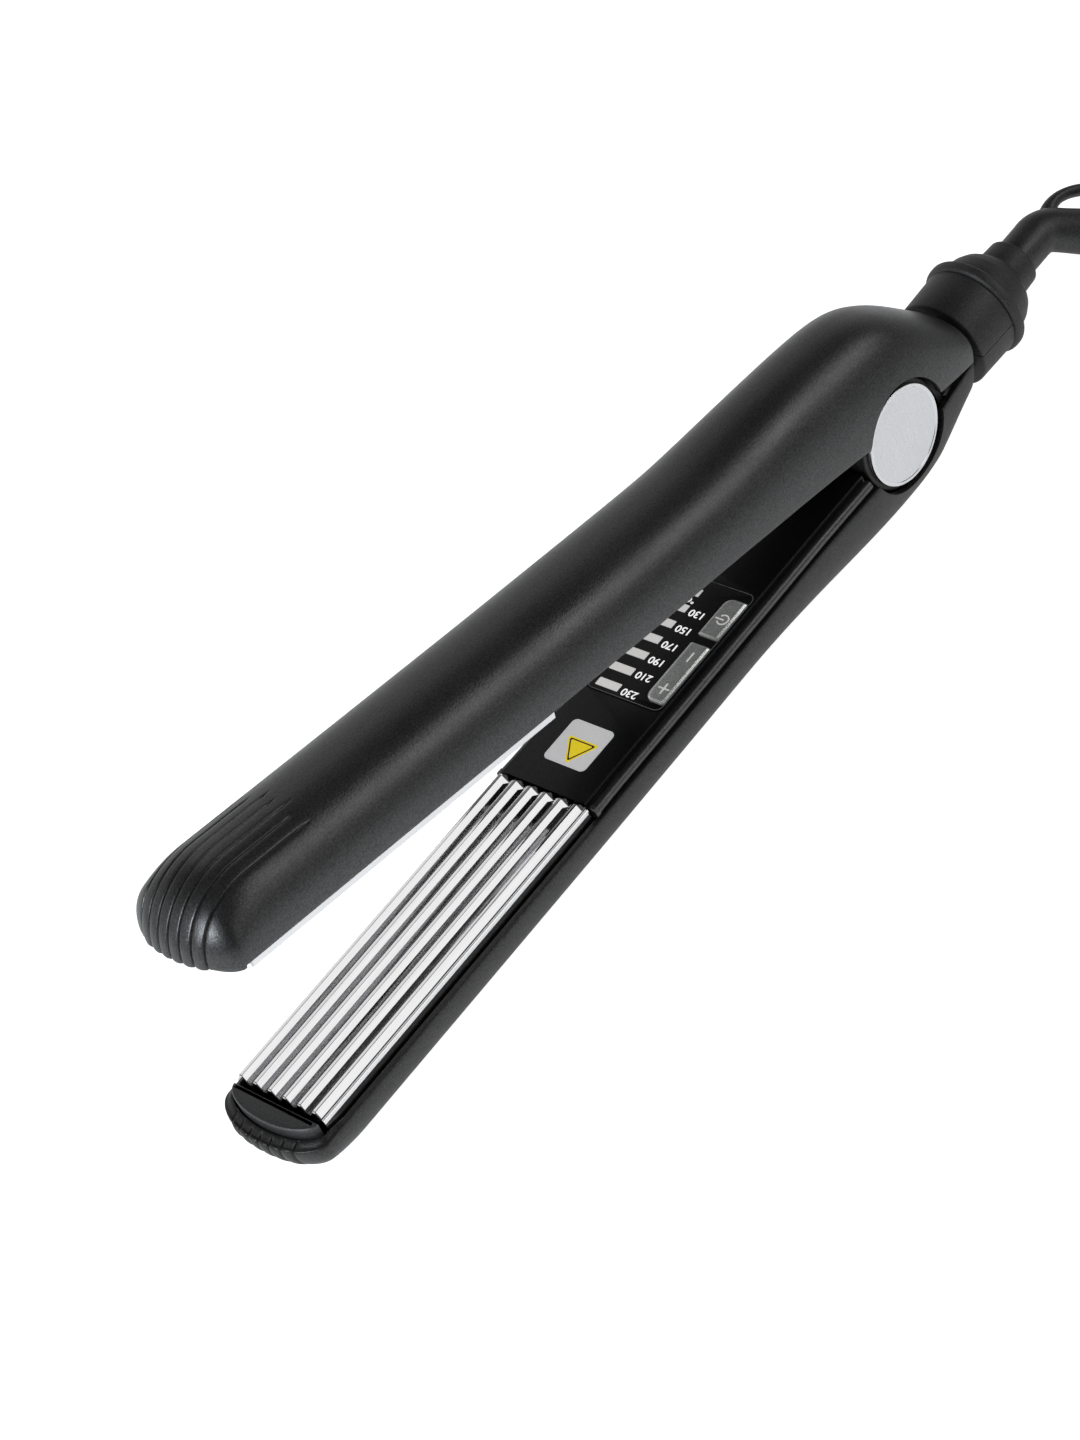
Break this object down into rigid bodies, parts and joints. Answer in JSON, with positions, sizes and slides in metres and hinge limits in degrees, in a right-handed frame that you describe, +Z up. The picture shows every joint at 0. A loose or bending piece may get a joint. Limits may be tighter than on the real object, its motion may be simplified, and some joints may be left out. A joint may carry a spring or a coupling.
{
  "type": "hair crimper",
  "caption": "Hand-held hair crimper: hinged arms with meshing ridged plates, control panel on the inner face, swivelling cord exit with a hang loop.",
  "frame": {"origin": "middle of the flat spot under the hinge, on the underside of the lower housing, where the tool rests", "axes": "+X from the noses toward the cord, +Y along the hinge pin away from the keys' side, +Z up; the lower arm lies along X"},
  "size_m": [0.3618, 0.0667, 0.0857],
  "materials": {
    "board_green": "solder mask",
    "brushed_cap": "brushed",
    "ceramic": "unglazed",
    "charcoal": "fine-textured charcoal",
    "high_heat_plastic": "moulded",
    "inner_black": "satin black",
    "light_guide": "translucent grey",
    "mirror_plate": "polished",
    "rubber": "fine-textured black",
    "satin_key": "satin silver paint",
    "silicone": "silicone",
    "soft_black": "fine-grained soft-touch black",
    "steel": "plain",
    "sticker": "printed film",
    "wire": "sleeved"
  },
  "bodies": {
    "lower_arm": {"lower_housing": "soft_black", "lower_inner_cover": "inner_black", "lower_tip_insert": "inner_black", "lower_plate_carrier": "high_heat_plastic", "lower_cushion_front": "silicone", "lower_cushion_rear": "silicone", "lower_carrier_screw_front": "steel", "lower_carrier_screw_rear": "steel", "lower_heater_lead": "wire", "heat_sticker": "sticker", "control_panel": "inner_black", "indicator_light_guide": "light_guide", "circuit_board": "board_green", "power_switch": "high_heat_plastic", "plus_switch": "high_heat_plastic", "minus_switch": "high_heat_plastic", "hinge_hub_left": "charcoal", "hinge_hub_right": "charcoal", "hinge_cap_left": "brushed_cap", "hinge_cap_right": "brushed_cap", "hinge_pin": "steel", "torsion_spring": "steel", "rear_collar_upper": "charcoal", "rear_collar_lower": "charcoal", "mains_lead": "wire"},
    "lower_plate": {"lower_crimp_plate": "mirror_plate", "lower_heater": "ceramic", "lower_heater_clamp": "steel", "lower_temperature_sensor": "steel"},
    "upper_arm": {"upper_housing": "soft_black", "upper_inner_cover": "inner_black", "upper_tip_insert": "inner_black", "upper_plate_carrier": "high_heat_plastic", "upper_cushion_front": "silicone", "upper_cushion_rear": "silicone", "upper_carrier_screw_front": "steel", "upper_carrier_screw_rear": "steel", "upper_heater_lead": "wire"},
    "upper_plate": {"upper_crimp_plate": "mirror_plate", "upper_heater": "ceramic", "upper_heater_clamp": "steel", "upper_temperature_sensor": "steel"},
    "power_key": {"power_button": "satin_key"},
    "temperature_key": {"temperature_rocker": "satin_key"},
    "cord_exit": {"swivel_cap": "charcoal", "strain_relief": "rubber", "power_cord": "rubber"}
  },
  "joints": [
    {"name": "arm_hinge", "type": "hinge", "parent": "lower_arm", "child": "upper_arm", "pos_m": [0, 0, 0.0228], "axis": [0, 1, 0], "range_deg": [-12.1, 0], "deforming": ["torsion_spring"]},
    {"name": "lower_plate_float", "type": "slide", "parent": "lower_arm", "child": "lower_plate", "axis": [0, 0, -1], "range_m": [0, 0.0007], "stiffness_N_per_m": 2500, "deforming": ["lower_cushion_front", "lower_cushion_rear"]},
    {"name": "upper_plate_float", "type": "slide", "parent": "upper_arm", "child": "upper_plate", "axis": [0.2108, 0, 0.9775], "range_m": [0, 0.0007], "stiffness_N_per_m": 2500, "deforming": ["upper_cushion_front", "upper_cushion_rear"]},
    {"name": "power_button_press", "type": "slide", "parent": "lower_arm", "child": "power_key", "axis": [0, 0, -1], "range_m": [0, 0.0004], "stiffness_N_per_m": 60},
    {"name": "temperature_rocker_tilt", "type": "hinge", "parent": "lower_arm", "child": "temperature_key", "pos_m": [-0.0798, -0.00785, 0.0198], "axis": [0, 1, 0], "range_deg": [-1.8, 1.8], "stiffness_Nm_per_rad": 0.001},
    {"name": "cord_swivel", "type": "hinge", "parent": "lower_arm", "child": "cord_exit", "pos_m": [0.044, 0, 0.01745], "axis": [1, 0, 0], "continuous": true}
  ]
}
